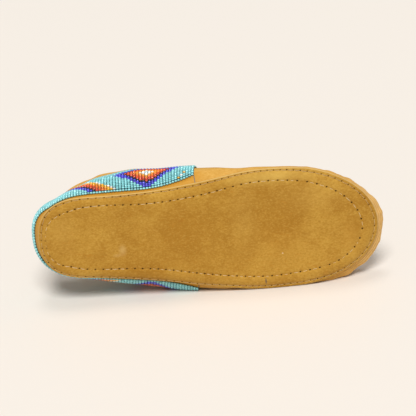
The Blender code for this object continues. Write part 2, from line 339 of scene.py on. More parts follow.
def crown_slope(along):
    back = crown_point(max(along - 0.01, 0))
    front = crown_point(min(along + 0.01, 1))
    return (front.y - back.y) / (front.x - back.x)


@lru_cache(maxsize=None)
def floor_point():
    """Point of the sole's outer edge that lies on the floor, at the ball of the foot."""
    steps = 200
    edge = min((outline(-i / steps) for i in range(steps)), key=FLOOR_NORMAL.dot)
    return edge + Vector((0, SOLE_THICKNESS - EDGE_ROUND, 0))


def pressed(point, margin):
    """The point, or its place on the floor, a margin above, where it would lie lower."""
    above = (point - floor_point()).dot(FLOOR_NORMAL) - margin
    if above < PRESS_BLEND:
        flat = max(above + PRESS_BLEND, 0) ** 2 / (4 * PRESS_BLEND)
        point = point + FLOOR_NORMAL * (flat - above)
    return point


def beads_below(along):
    """Thickness of the band between the leather and the floor, easing away ahead of the seam."""
    return (GAP + BAND_THICKNESS) * (1 - smooth_step(SEAM_ALONG, SEAM_ALONG + 0.1, along))


@lru_cache(maxsize=None)
def wall(turn):
    """Points up the leather at a turn, from the sole's edge over the belly to the crown, and the
    length along it at each."""
    along = along_at(turn)
    inner, outer, height, _, rise, lean, reach = smooth_row(SECTIONS, along)
    belly_out = (inner if wrap(turn) > 0 else outer) * MM
    belly_height = height * MM
    up = Vector((0, 1, 0))
    out = outward(turn)
    edge = inset_point(turn, UPPER_INSET)
    edge.y = underside(edge) + SOLE_THICKNESS + UPPER_SEAT
    ridge = crown_point(along)
    belly = edge + out * (belly_out + UPPER_INSET) + up * belly_height
    above = belly.copy()
    above.y = ridge.y
    shoulder = ridge.lerp(above, reach)
    shoulder.y += crown_slope(along) * (shoulder.x - ridge.x)
    leaving = (above - belly) * rise + (ridge - above) * lean
    lower = interpolate_bezier(edge, edge + (belly - edge) * 0.35 + out * belly_out * 0.25,
                               belly - leaving.normalized() * belly_height * 0.4, belly, 16)
    upper = interpolate_bezier(belly, belly + leaving, shoulder, ridge, 40)
    path = lower + upper[1:]
    if along < SEAM_ALONG:
        low, collar, ease = (arc * MM for arc in smooth_row(LANES, along))
        shares = [max((arc - low - BAND_WIDTH) / (collar - low - BAND_WIDTH), 0)
                  for arc in arcs_of(path)]
        path = [point + out * ease * share**2 for point, share in zip(path, shares)]
    path = [pressed(point, beads_below(along)) for point in path]
    return path, arcs_of(path)


def arcs_of(path):
    arcs = [0.0]
    for start, end in zip(path, path[1:]):
        arcs.append(arcs[-1] + (end - start).length)
    return arcs


def step_at(lengths, wanted):
    """The step in a row of rising lengths where the wanted one falls, and the share of it."""
    k = min(bisect_left(lengths, wanted, 1), len(lengths) - 1) - 1
    return k, min((wanted - lengths[k]) / (lengths[k + 1] - lengths[k]), 1)


def turn_along(turns, lengths, wanted):
    """The turn at a length along a row of turns."""
    k, share = step_at(lengths, wanted)
    return turns[k] + (turns[k + 1] - turns[k]) * share


def at_arc(turn, arc):
    """Point of the leather at a turn and an arc up the wall."""
    path, arcs = wall(turn)
    k, share = step_at(arcs, min(max(arc, 0), arcs[-1]))
    return path[k].lerp(path[k + 1], share)


def on_skin(turn, arc):
    """Point of the leather, and the directions across, up and out of it."""
    step, climb = 0.003, 0.5 * MM
    across = (at_arc(turn + step, arc) - at_arc(turn - step, arc)).normalized()
    rising = (at_arc(turn, arc + climb) - at_arc(turn, arc - climb)).normalized()
    out = rising.cross(across).normalized()
    return at_arc(turn, arc), across, out.cross(across) * -1, out


def band_low(turn):
    return smooth_row(LANES, along_at(turn))[0] * MM


def leaned(turn, arc):
    """The turn of a bead column or of the side seam at an arc: the seam leans towards the toe as
    it rises, and the columns next to it lean with it."""
    along = along_at(turn)
    share = smooth_step(0.28, SEAM_ALONG, along) * (arc - band_low(turn)) / BAND_WIDTH
    return copysign(turn_at(along + share * SEAM_LEAN / SOLE_LENGTH), wrap(turn))


def topline(turn):
    """Arc of the upper's top edge: the collar, the rounded throat, or the crown on the vamp."""
    along = along_at(turn)
    crown_arc = wall(turn)[1][-1]
    if along >= THROAT_ALONG:
        return crown_arc
    collar = smooth_row(LANES, along)[1] * MM * HEEL_HEIGHT / COLLAR_HEEL
    forward = max((along - SEAM_ALONG) / (THROAT_ALONG - SEAM_ALONG), 0)
    return crown_arc - (crown_arc - collar) * sqrt(1 - forward**2)


# ---- helpers for pieces

TURNED = FLOOR_NORMAL.rotation_difference(Vector((0, 0, 1)))
LYING = (Matrix.Translation((-MIDDLE[0], -MIDDLE[1], -(TURNED @ floor_point()).z))
         @ TURNED.to_matrix().to_4x4())


def add_object(name, data):
    added = bpy.data.objects.new(name, data)
    bpy.context.scene.collection.objects.link(added)
    return added


def finish_piece(name, mesh, materials, replaces=None):
    """Lays the mesh down with the shoe and hands it to the frame as a piece."""
    mesh.transform(LYING)
    data = bpy.data.meshes.new(name)
    mesh.to_mesh(data)
    mesh.free()
    data.shade_smooth()
    for material in materials:
        data.materials.append(material)
    piece = add_object(name, data)
    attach(piece, "root")
    if replaces:
        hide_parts(replaces)
    return piece


def grid_sheet(turns, rows, place, layers=()):
    """A grid with a column for each turn and the given number of rows, each vertex set by place,
    which returns the point and a value for each named layer. Doubled seams are merged."""
    mesh = bmesh.new()
    across, up = len(turns) - 1, rows - 1
    bmesh.ops.create_grid(mesh, x_segments=across, y_segments=up, size=0.5)
    kept = [mesh.verts.layers.float.new(name) for name in layers]
    for vertex in mesh.verts:
        i = round((vertex.co.x + 0.5) * across)
        j = round((vertex.co.y + 0.5) * up)
        point, *values = place(turns[i], j)
        vertex.co = point
        for layer, value in zip(kept, values):
            vertex[layer] = value
    bmesh.ops.remove_doubles(mesh, verts=mesh.verts, dist=0.0005 * MM)
    return mesh


def thread_curve(name, radius):
    """A round thread, still without a run."""
    curve = bpy.data.curves.new(name, "CURVE")
    curve.dimensions = "3D"
    curve.bevel_depth = radius
    curve.bevel_resolution = 1
    curve.use_fill_caps = True
    return curve


def add_run(curve, points):
    """Adds a run of thread through points of the shoe's own frame."""
    spline = curve.splines.new("POLY")
    spline.points.add(len(points) - 1)
    for dot, point in zip(spline.points, points):
        dot.co = (*(LYING @ point), 1)


def finish_thread(curve, material):
    """Hands a thread to the frame as a piece."""
    piece = add_object(curve.name, curve)
    curve.materials.append(material)
    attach(piece, "root")


def edge_length(turn_a, turn_b, inset):
    """Distance from one turn to another on a row that is inset from the sole's edge."""
    return (inset_point(turn_b, inset(turn_b)) - inset_point(turn_a, inset(turn_a))).length


@lru_cache(maxsize=None)
def girth_table(row):
    """Turns round the shoe and the length of the sole's edge up to each, or for a stitch row the
    number of its stitches."""
    inset = {"edge": lambda turn: 0.0, "outer": outer_inset, "inner": inner_inset}[row]
    count = 1600
    turns = [-1 + 2 * i / count for i in range(count + 1)]
    lengths = [0.0]
    for a, b in zip(turns, turns[1:]):
        step = {"edge": 1.0, "outer": stitch_row(a)[4], "inner": stitch_row(a)[5]}[row]
        lengths.append(lengths[-1] + edge_length(a, b, inset) / step)
    return turns, lengths


def spaced_turns(row, count):
    """Turns of points at equal steps round the shoe, from the heel over the outer side to the toe
    and back along the inner side."""
    turns, lengths = girth_table(row)
    return [turn_along(turns, lengths, lengths[-1] * i / count) for i in range(count + 1)]


def girth(turn):
    """Length of the sole's edge from the back of the heel to a turn."""
    turns, lengths = girth_table("edge")
    place = (wrap(turn) + 1) / 2 * (len(turns) - 1)
    k = min(int(place), len(turns) - 2)
    return lengths[k] + (lengths[k + 1] - lengths[k]) * (place - k)


@lru_cache(maxsize=None)
def stitch_row(turn):
    """Insets of the outer row and of the inner row on each side, then the stitch of each row."""
    return [value * MM for value in smooth_row(STITCH_ROWS, along_at(turn))]


def outer_inset(turn):
    return stitch_row(turn)[0 if wrap(turn) > 0 else 1]


def inner_inset(turn):
    return stitch_row(turn)[2 if wrap(turn) > 0 else 3]


# ---- materials


def node_group(name, inputs, outputs):
    """An empty shader group with its sockets, and its two end nodes."""
    group = bpy.data.node_groups.new(name, "ShaderNodeTree")
    for label, kind, value in inputs:
        socket = group.interface.new_socket(label, in_out="INPUT", socket_type="NodeSocket" + kind)
        socket.default_value = value
    for label, kind in outputs:
        group.interface.new_socket(label, in_out="OUTPUT", socket_type="NodeSocket" + kind)
    return group, group.nodes.new("NodeGroupInput"), group.nodes.new("NodeGroupOutput")


def add_node(tree, kind, settings=None, **inputs):
    """A node with its settings and inputs, which are values or sockets to link from."""
    node = tree.nodes.new("ShaderNode" + kind)
    for key, value in (settings or {}).items():
        setattr(node, key, value)
    for key, value in inputs.items():
        index = int(key[1:]) if key[0] == "i" and key[1:].isdigit() else key.replace("_", " ")
        if isinstance(value, bpy.types.NodeSocket):
            tree.links.new(value, node.inputs[index])
        else:
            node.inputs[index].default_value = value
    return node


def noise_at(tree, place, scale, detail=3.0, roughness=0.55, distortion=0.0):
    return add_node(tree, "TexNoise", Vector=place, Scale=scale, Detail=detail,
                    Roughness=roughness, Distortion=distortion).outputs["Fac"]


def spread(tree, value, low, high, to_low=0.0, to_high=1.0):
    """The value from low to high, spread smoothly over another range."""
    return add_node(tree, "MapRange", {"interpolation_type": "SMOOTHSTEP"}, Value=value,
                    From_Min=low, From_Max=high, To_Min=to_low, To_Max=to_high).outputs["Result"]


def math_of(tree, operation, a, b):
    return add_node(tree, "Math", {"operation": operation}, i0=a, i1=b).outputs[0]


def times(tree, a, b):
    return math_of(tree, "MULTIPLY", a, b)


def vector_of(tree, operation, a, b):
    return add_node(tree, "VectorMath", {"operation": operation}, i0=a, i1=b).outputs[0]


def mixed(tree, factor, a, b):
    """Colour a turning into b."""
    return add_node(tree, "Mix", {"data_type": "RGBA"}, i0=factor, i6=a, i7=b).outputs[2]


def make_nap_group():
    """Brushed suede: cloudy patches, short brushed fibres and a fine fuzz, as masks and a bump."""
    group, start, end = node_group(
        "brushed_nap",
        (("Place", "Vector", (0, 0, 0)), ("Brush", "Vector", (1, 1.5, 1.5)),
         ("Height", "Float", 0.00012)),
        (("Clouds", "Float"), ("Fibres", "Float"),
         ("Strokes", "Float"), ("Normal", "Vector")))
    place, brush, height = (start.outputs[k] for k in range(3))
    brushed = vector_of(group, "MULTIPLY", place, brush)
    broad = noise_at(group, place, 22, 3, 0.5, 0.4)
    small = noise_at(group, brushed, 150, 4, 0.65, 0.6)
    clouds = math_of(group, "ADD", times(group, broad, 0.72), times(group, small, 0.28))
    fibres = noise_at(group, brushed, 560, 4, 0.65, 0.3)
    fuzz = noise_at(group, place, 1900, 3, 0.7)
    raked = vector_of(group, "MULTIPLY", place, (0.34, 1.0, 1.0))
    strokes = times(group, spread(group, noise_at(group, raked, 640, 2, 0.5, 1.2), 0.54, 0.70),
                    spread(group, noise_at(group, place, 30, 2, 0.5), 0.46, 0.62))
    relief = math_of(group, "ADD", fibres, times(group, fuzz, 0.5))
    relief = math_of(group, "SUBTRACT", relief, times(group, strokes, 0.5))
    raised = add_node(group, "Bump", Strength=1.0, Distance=height, Height=relief)
    for k, value in enumerate((clouds, fibres, strokes, raised.outputs["Normal"])):
        group.links.new(value, end.inputs[k])
    return group


def make_spot_group():
    """How near a point is to a place on the leather, 1 at the place and 0 at the radius."""
    group, start, end = node_group(
        "wear_and_highlight_spot",
        (("Place", "Vector", (0, 0, 0)), ("Centre", "Vector", (0, 0, 0)),
         ("Stretch", "Vector", (1, 1, 1)), ("Radius", "Float", 0.01)),
        (("Spot", "Float"),))
    away = vector_of(group, "SUBTRACT", start.outputs[0], start.outputs[1])
    scaled = vector_of(group, "MULTIPLY", away, start.outputs[2])
    distance = add_node(group, "VectorMath", {"operation": "LENGTH"}, i0=scaled).outputs["Value"]
    share = math_of(group, "DIVIDE", distance, start.outputs[3])
    group.links.new(spread(group, share, 1.0, 0.0), end.inputs[0])
    return group


def new_material(name, roughness, colour=(0.5, 0.5, 0.5), **sockets):
    material = bpy.data.materials.new(name)
    material.use_nodes = True
    tree = material.node_tree
    shader = tree.nodes["Principled BSDF"]
    shader.inputs["Base Color"].default_value = (*colour, 1)
    shader.inputs["Roughness"].default_value = roughness
    for key, value in sockets.items():
        shader.inputs[key.replace("_", " ")].default_value = value
    return material, tree, shader


def object_place(tree):
    return add_node(tree, "TexCoord").outputs["Object"]


def attribute(tree, name):
    return add_node(tree, "Attribute", {"attribute_name": name}).outputs["Fac"]


def group_node(tree, group, **inputs):
    return add_node(tree, "Group", {"node_tree": group}, **inputs)


def suede(name, groups, light, middle, dark, spots=(), layers=()):
    """Brushed suede in three tones, with darker or lighter spots and the named layers' tints."""
    nap_group, spot_group = groups
    material, tree, shader = new_material(name, 0.92, Sheen_Weight=0.2, Sheen_Roughness=0.45,
                                          Sheen_Tint=(1.0, 0.78, 0.45, 1), Specular_IOR_Level=0.2)
    place = object_place(tree)
    nap = group_node(tree, nap_group, Place=place)
    colour = mixed(tree, spread(tree, nap.outputs["Clouds"], 0.36, 0.64), (*dark, 1), (*middle, 1))
    lift = spread(tree, nap.outputs["Fibres"], 0.44, 0.80, 0.0, 0.55)
    colour = mixed(tree, lift, colour, (*light, 1))
    sink = spread(tree, nap.outputs["Fibres"], 0.51, 0.29, 0.0, 0.75)
    colour = mixed(tree, sink, colour, (*dark, 1))
    rubbed = (middle[0] * 0.88, middle[1] * 0.72, middle[2] * 0.45, 1)
    colour = mixed(tree, times(tree, nap.outputs["Strokes"], 0.55), colour, rubbed)
    for (x, z), stretch, radius, amount, tint in spots:
        spot = group_node(tree, spot_group, Place=place, Centre=LYING @ (Vector((x, 0, z)) * MM),
                          Stretch=stretch, Radius=radius * MM)
        ragged = times(tree, spot.outputs[0],
                       spread(tree, nap.outputs["Clouds"], 0.30, 0.60, 0.55, 1.2))
        colour = mixed(tree, times(tree, ragged, amount), colour, (*tint, 1))
    for layer, tint in LAYER_TINTS:
        if layer in layers:
            colour = mixed(tree, attribute(tree, layer), colour, tint)
    tree.links.new(colour, shader.inputs["Base Color"])
    tree.links.new(nap.outputs["Normal"], shader.inputs["Normal"])
    return material


def bead_glass(name, colour):
    """Opaque glass beads, each a little lighter or darker than the next."""
    roughness = 0.16
    material, tree, shader = new_material(name, roughness, Coat_Weight=0.5, Coat_Roughness=0.08)
    shade = attribute(tree, "bead_shade")
    dark = tuple(c * 0.72 for c in colour)
    light = tuple(min(c * 1.22 + 0.012, 1) for c in colour)
    tree.links.new(mixed(tree, shade, (*dark, 1), (*light, 1)), shader.inputs["Base Color"])
    uneven = times(tree, noise_at(tree, object_place(tree), 900), 0.16)
    tree.links.new(math_of(tree, "ADD", uneven, roughness - 0.04), shader.inputs["Roughness"])
    return material


def thread_material(name, colour):
    """Twisted waxed thread."""
    material, tree, shader = new_material(name, 0.6, colour, Sheen_Weight=0.2)
    wave = add_node(tree, "TexWave", {"bands_direction": "DIAGONAL"}, Vector=object_place(tree),
                    Scale=900.0, Distortion=1.5).outputs["Fac"]
    dark = tuple(c * 0.62 for c in colour)
    tree.links.new(mixed(tree, wave, (*dark, 1), (*colour, 1)), shader.inputs["Base Color"])
    raised = add_node(tree, "Bump", Strength=0.5, Distance=0.0001, Height=wave)
    tree.links.new(raised.outputs["Normal"], shader.inputs["Normal"])
    return material


# ---- the sole


def stitch_places(row):
    """Turns of the stitch holes of a row."""
    return spaced_turns(row, round(girth_table(row)[1][-1]))[:-1]


def sole_point(turn, inset, lift):
    """Point on the sole's lower face, an inset in from its edge and lifted out of the face."""
    point = inset_point(turn, inset)
    point.y = underside(point) - lift + SOLE_ROLL * max(1 - inset / ROLL_WIDTH, 0) ** 2
    return point


def stitch_tree(row, inset):
    """The stitch holes of a row, to find the nearest one to a place."""
    turns = stitch_places(row)
    tree = KDTree(len(turns))
    for k, turn in enumerate(turns):
        point = inset_point(turn, inset(turn))
        point.y = underside(point)
        tree.insert(point, k)
    tree.balance()
    return tree


def make_sole(material):
    """The sole with both rows of stitch holes drawn into it and its raw cut edge."""
    turns, places = spaced_turns("edge", 1300), 400
    outer_holes, inner_holes = stitch_tree("outer", outer_inset), stitch_tree("inner", inner_inset)
    outer_hole, inner_hole, hole_depth = 0.34 * MM, 0.52 * MM, 0.80 * MM
    # The leather is drawn in along each row of stitches, and more round each hole.
    groove_depth, groove_width, dimple_depth, dimple_width = 0.28 * MM, 1 * MM, 0.35 * MM, 1.3 * MM
    plump_height, cut_depth = 0.30 * MM, 0.10 * MM
    # Upper face and side: share of the way out from the centre line, inset and height.
    top = SOLE_THICKNESS
    side = ((0.0, 0.0, top), (0.6, 0.0, top), (1, 0.8 * MM, top), (1, 0.15 * MM, top - 0.15 * MM),
            (1, 0.0, top - 0.3 * MM), (1, 0.0, top - 0.6 * MM), (1, 0.0, top - 0.9 * MM))
    # Lower face: rows from the edge past the outer stitches, up to 1 as a share of their inset and
    # above it in millimetres past them, then rows up to, beside and inside the inner stitches.
    by_edge = (0.0, 0.2, 0.45, 0.7, 0.88, 1.08, 1.25, 1.45, 1.8, 2.3)
    between, beside, inside = 4, 9, 12
    rows = len(side) + len(by_edge) + between + beside + inside

    @lru_cache(maxsize=None)
    def lower_rows(turn):
        """Insets from the edge of the rows on the lower face, up to the inner stitches."""
        inner, outer = inner_inset(turn), outer_inset(turn)
        insets = [value * outer if value <= 1 else outer + (value - 1) * MM for value in by_edge]
        first, last = insets[-1], inner - 1.6 * MM
        insets += [first + (last - first) * (k + 1) / (between + 1) for k in range(between)]
        return insets + [inner + (k - beside // 2) * 0.32 * MM for k in range(beside)]

    def place(turn, j):
        if j < len(side):
            share, inset, height = side[j]
            edge = inset_point(turn, inset)
            point = shared_spine(turn, places).lerp(edge, share)
            if share == 1:
                point -= outward(turn) * abs(noise.noise(point / (1.2 * MM))) * cut_depth
            point.y = underside(point) + height
            return pressed(point, 0), 1.0 if height < top else 0.0, 0.0
        j -= len(side)
        insets = lower_rows(turn)
        if j < len(insets):
            inset = insets[j]
            point = inset_point(turn, inset)
        else:
            edge = inset_point(turn, insets[-1])
            middle = shared_spine(turn, places) if j == len(insets) + inside - 1 else spine(turn)
            point = edge.lerp(middle, (j - len(insets) + 1) / inside)
            inset = insets[-1] + (point - edge).length
        point.y = underside(point)
        # The hole layer is painted shade inside each stitch hole, on top of the sunk geometry.
        hole, drawn = 0.0, 0.0
        # The inner row is worn nearly smooth at the back of the heel.
        worn = 0.32 + 0.68 * smooth_step(0.02, 0.07, along_at(turn))
        for row, tree, radius, share in ((outer_inset(turn), outer_holes, outer_hole, 1),
                                         (inner_inset(turn), inner_holes, inner_hole, worn)):
            away = tree.find(point)[2]
            inside_hole = share * smooth_step(radius * 1.35, radius * 0.75, away)
            hole = max(hole, inside_hole)
            drawn += groove_depth * bump(inset - row, groove_width)
            drawn += dimple_depth * bump(away, dimple_width) + hole_depth * inside_hole
        corner = max(SIDE_ROUND - inset, 0)
        falling = SIDE_ROUND - sqrt(max(SIDE_ROUND**2 - corner**2, 0))
        falling += SOLE_ROLL * max(1 - inset / ROLL_WIDTH, 0) ** 2
        plump = plump_height * smooth_step(0, 3.0 * MM, inset - outer_inset(turn))
        wave = (noise.noise(point / (17 * MM)) * 0.40 + noise.noise(point / (5 * MM)) * 0.10) * MM
        point.y += drawn * smooth_step(0, 1 * MM, inset) + falling - plump
        point.y -= wave * smooth_step(0, 6 * MM, inset)
        return pressed(point, 0), 1.0 - smooth_step(0.05 * MM, 0.5 * MM, inset), hole

    mesh = grid_sheet(turns, rows, place, ("cut_edge", "hole"))
    bmesh.ops.recalc_face_normals(mesh, faces=mesh.faces)
    finish_piece("sole_suede", mesh, [material], "sole")


def make_stitches(name, row, inset, sink, radius, material):
    """Stitches of a row on the sole: a thread from hole to hole, sunk at both ends."""
    curve = thread_curve(name, radius)
    holes = stitch_places(row)
    holes.append(holes[0] + 2)
    dice = random.Random(5)
    steps = 6
    for a, b in zip(holes, holes[1:]):
        slant = dice.uniform(-0.12, 0.12) * MM
        points = []
        for n in range(steps + 1):
            t = n / steps
            turn = a + (b - a) * (0.11 + 0.78 * t)
            dip = sink * (1 - sin(pi * t) ** 0.6)
            points.append(sole_point(turn, inset(turn) + slant * (2 * t - 1), radius * 0.2 - dip))
        add_run(curve, points)
    finish_thread(curve, material)


# ---- the upper


def upper_turns():
    """Stations of the upper from the inner side of the heel over the toe to the outer side."""
    vamp, throat, quarter = 120, 30, 90
    front, seam = turn_at(THROAT_ALONG), turn_at(SEAM_ALONG)
    half = [front * i / vamp for i in range(vamp)]
    for i in range(throat):
        forward = cos(pi / 2 * i / throat)
        half.append(turn_at(SEAM_ALONG + (THROAT_ALONG - SEAM_ALONG) * forward))
    half += [seam + (1 - seam) * i / quarter for i in range(quarter + 1)]
    return [-turn for turn in reversed(half[1:])] + half


def gather_relief(turn, arc):
    """How far the puckered leather at the toe stands out."""
    here = girth(turn)
    total = 0.0
    for along, side, width, height in GATHERS:
        away = here - girth(side * turn_at(along))
        total += height * MM * bump(away, width * MM)
    fade = smooth_step(-1 * MM, 5 * MM, arc) * (1 - smooth_step(9 * MM, 26 * MM, arc))
    fine = noise.noise(Vector((here / (3.2 * MM), arc / (12 * MM), 0))) * 0.30 * MM
    toe = smooth_step(0.70, 0.86, along_at(turn))
    return (total - 0.35 * MM) * fade * toe + fine * fade * toe


def rolled_folds(turn, arc):
    """Fine folds that run along the sole's edge where the leather is rolled under the toe: how far
    a place stands out, how much painted highlight lies on the top of each fold, and how much
    painted shade lies between two folds."""
    toe = bump(max(abs(wrap(turn)) - 0.10, 0), 0.15)
    folds = sum(bump(arc - centre * MM, 1.1 * MM) for centre in FOLD_ARCS)
    between = sum(bump(arc - (centre + 1.1) * MM, 0.8 * MM) for centre in FOLD_ARCS)
    low = 1 - smooth_step(9 * MM, 16 * MM, arc)
    deep = bump(max(abs(wrap(turn)) - 0.16, 0), 0.16) * low
    return toe * folds, toe * 0.85 * folds * low, deep * (0.14 + 0.55 * between)


def crease_relief(point):
    """How far the creases of the vamp sink or bulge."""
    total = 0.0
    for x0, z0, x1, z1, width, depth in CREASES:
        a, b = Vector((x0, z0)) * MM, Vector((x1, z1)) * MM
        here = Vector((point.x, point.z))
        t = min(max((here - a).dot(b - a) / (b - a).length_squared, 0), 1)
        away = (here - a.lerp(b, t)).length
        total -= depth * MM * bump(away, width * MM)
        total += 0.5 * depth * MM * bump(away - width * MM, width * MM * 0.8)
    return total * smooth_step(14 * MM, 26 * MM, point.y)


def upper_skin(turn, arc):
    """Point of the finished leather, with its gathers, folds and creases."""
    point, _, _, out = on_skin(turn, arc)
    relief = noise.noise(point / (14 * MM)) * 0.5 * MM
    if along_at(turn) > 0.5:
        relief += gather_relief(turn, arc) + crease_relief(point)
        relief += 0.8 * MM * rolled_folds(turn, arc)[0]
    covered = along_at(turn) < SEAM_ALONG and arc < band_low(turn) + BAND_WIDTH + 2 * MM
    if covered:
        relief *= 0.15
    settle = smooth_step(0, 2 * MM, arc)
    return pressed(point + out * relief * settle, beads_below(along_at(turn)))


def make_upper(outside, inside):
    """The leather from the sole's edge to the topline, made into a wall with a rounded edge."""
    turns = upper_turns()
    low_rows, rows = 26, 68

    def place(turn, j):
        top = topline(turn)
        fine = min(12 * MM, 0.3 * top)
        if j < low_rows:
            arc = fine * j / low_rows
        else:
            arc = fine + (top - fine) * ((j - low_rows) / (rows - 1 - low_rows)) ** 1.1
        if along_at(turn) >= THROAT_ALONG and j == rows - 1:
            return at_arc(abs(turn), top), 0.0, 0.0
        # Painted shade on the leather just under the beaded band, darkest right under it.
        behind = 1 - smooth_step(SEAM_ALONG - 0.01, SEAM_ALONG + 0.04, along_at(turn))
        painted_shade = behind * (0.60 + 0.4 * smooth_step(0.35, 0.9, arc / band_low(turn)))
        if arc > band_low(turn) + 3 * MM:
            painted_shade = 0.0
        # Painted highlight on the crests of the rolled folds at the toe, and painted shade between
        # them.
        pale, dark = rolled_folds(turn, arc)[1:]
        return upper_skin(turn, arc), max(painted_shade, dark), pale

    mesh = grid_sheet(turns, rows, place, ("painted_shade", "painted_crest_highlight"))
    bmesh.ops.reverse_faces(mesh, faces=mesh.faces)
    piece = finish_piece("upper_suede", mesh, [outside, inside], "upper")
    wall_of = piece.modifiers.new("wall", "SOLIDIFY")
    wall_of.thickness = WALL - 0.2 * MM
    wall_of.offset = -1
    wall_of.material_offset = 1
    soften = piece.modifiers.new("edge", "BEVEL")
    soften.width = 0.5 * MM
    soften.segments = 2
    soften.limit_method = "ANGLE"
    soften.angle_limit = radians(60)


# ---- the beaded band


def bead_colour(column, row, inner):
    """Colour of a bead, counted from the side seam and up from the lower edge, from 1."""
    if inner and (column, row) in ((4, 3), (6, 1)):
        return "yellow"
    if inner and (column, row) == (5, 2):
        return "white"
    # A diamond round the bead at column 17 and row 10, in rings from its outer edge inwards.
    depth = 10.3 - abs(column - 17) * 0.91 - abs(row - 10)
    if depth >= 0:
        for limit, colour in ((2.4, "blue"), (3.4, "black"), (5.4, "red"), (7.1, "orange"),
                              (8.2, "yellow"), (9.5, "white")):
            if depth < limit:
                return colour
        return "turquoise"
    # A bar that leans back by a column a row, and narrows as it rises.
    step, rise = column - (row - 1), row - 1
    for last, colour in ((27 + 0.35 * rise, "turquoise"), (28 + 0.33 * rise, "white"),
                         (30 + 0.25 * rise, "yellow"), (32 + 0.12 * rise, "orange"),
                         (34, "red"), (35, "black"), (37, "blue")):
        if step <= last:
            return colour
    return "turquoise"


@lru_cache(maxsize=None)
def bead_columns():
    """Turns of the bead columns on the inner side, from the side seam to the back of the heel, and
    how far apart they are."""
    seam = turn_at(SEAM_ALONG)
    steps = 700
    turns = [seam + (1 - seam) * i / steps for i in range(steps + 1)]
    middle = [at_arc(turn, band_low(turn) + 0.5 * BAND_WIDTH) for turn in turns]
    lengths = arcs_of(middle)
    count = round(lengths[-1] / BEAD_ACROSS)
    pitch = lengths[-1] / count
    return [turn_along(turns, lengths, pitch * (i + 0.5)) for i in range(count)], pitch


def bead_form():
    """Places and faces of one bead of radius 1, its hole along Y, with only a few dozen faces."""
    mesh = bmesh.new()
    bmesh.ops.create_uvsphere(mesh, u_segments=10, v_segments=6, radius=1,
                              matrix=Matrix.Rotation(pi / 2, 4, "X"))
    # A bead is a short fat ring and no ball: its ends are flatter and its girth fuller.
    places = np.array([Vector((v.co.x, copysign(abs(v.co.y) ** 0.8, v.co.y), v.co.z))
                       for v in mesh.verts])
    # The operator gives its faces in no fixed order.
    faces = sorted([v.index for v in face.verts] for face in mesh.faces)
    mesh.free()
    return places, faces


def bead_places():
    """Colour, place, width and directions of every bead, a column at a time."""
    columns, pitch = bead_columns()
    for side in (1, -1):
        before = None
        for c, turn in enumerate(columns):
            here = []
            for r in range(BEAD_ROWS + 1):
                arc = band_low(turn) + (EDGING + BEAD_PITCH * (r - 0.5) if r else 0.75 * MM)
                point, across, up, out = on_skin(side * leaned(turn, arc), arc)
                here.append(point)
                width = (before[r] - point).length if before else pitch
                colour = bead_colour(c + 1, r, side > 0) if r else "turquoise"
                if colour == "turquoise":
                    colour += "_inner" if side > 0 else "_outer"
                yield colour, point, min(max(width, 0.8 * pitch), 1.06 * pitch), across, up, out
            before = here


def make_beads(materials):
    """Every bead, joined by colour, and the turquoise ones by side."""
    form, form_faces = bead_form()
    dice = random.Random(11)
    joined = {}
    for colour, point, width, across, up, out in bead_places():
        places, faces, shades = joined.setdefault(colour, ([], [], []))
        tall = BEAD_PITCH * 0.52 * dice.uniform(0.94, 1.05)
        wide = width * 0.51 * dice.uniform(0.95, 1.02)
        deep = 0.98 * MM * dice.uniform(0.94, 1.0)
        lean = dice.uniform(-0.07, 0.07)
        along = (up * cos(lean) + across * sin(lean)) * tall
        beside = (across * cos(lean) - up * sin(lean)) * wide
        centre = (point + out * (GAP + BAND_THICKNESS - deep)
                  + across * dice.uniform(-0.05, 0.05) * MM + up * dice.uniform(-0.04, 0.04) * MM)
        first = len(places) * len(form)
        places.append(form @ np.array((beside, along, out * deep)) + np.array(centre))
        faces += [[first + k for k in face] for face in form_faces]
        shades += [min(max(dice.gauss(0.5, 0.22), 0), 1)] * len(form)
    for colour in sorted(joined):
        places, faces, shades = joined[colour]
        data = bpy.data.meshes.new("joined")
        data.from_pydata(np.vstack(places), [], faces)
        data.attributes.new("bead_shade", "FLOAT", "POINT").data.foreach_set("value", shades)
        mesh = bmesh.new()
        mesh.from_mesh(data)
        bpy.data.meshes.remove(data)
        bmesh.ops.recalc_face_normals(mesh, faces=mesh.faces)
        finish_piece("beads_" + colour, mesh, [materials[colour.split("_")[0]]])


def band_turns(count):
    """Turns from the inner side seam round the heel to the outer one."""
    seam = turn_at(SEAM_ALONG)
    return [wrap(seam + (2 - 2 * seam) * i / count) for i in range(count + 1)]


def make_backing(material):
    """Strip that the beads are sewn to."""
    turns, rows, thickness = band_turns(180), 10, 0.7 * MM

    def place(turn, j):
        arc = band_low(turn) + 0.7 * MM + (BAND_WIDTH - 0.8 * MM) * j / (rows - 1)
        point, _, _, out = on_skin(leaned(turn, arc), arc)
        return point + out * (GAP + thickness),

    mesh = grid_sheet(turns, rows, place)
    bmesh.ops.reverse_faces(mesh, faces=mesh.faces)
    piece = finish_piece("bead_backing", mesh, [material], "beaded_band")
    sheet = piece.modifiers.new("thickness", "SOLIDIFY")
    sheet.thickness = thickness
    sheet.offset = -1


def make_cord(name, places, radius, material):
    """A thin cord on the upper through places given as a turn, an arc and a lift."""
    curve = thread_curve(name, radius)
    points = []
    for turn, arc, lift in places:
        point, _, _, out = on_skin(turn, arc)
        points.append(point + out * lift)
    add_run(curve, points)
    finish_thread(curve, material)


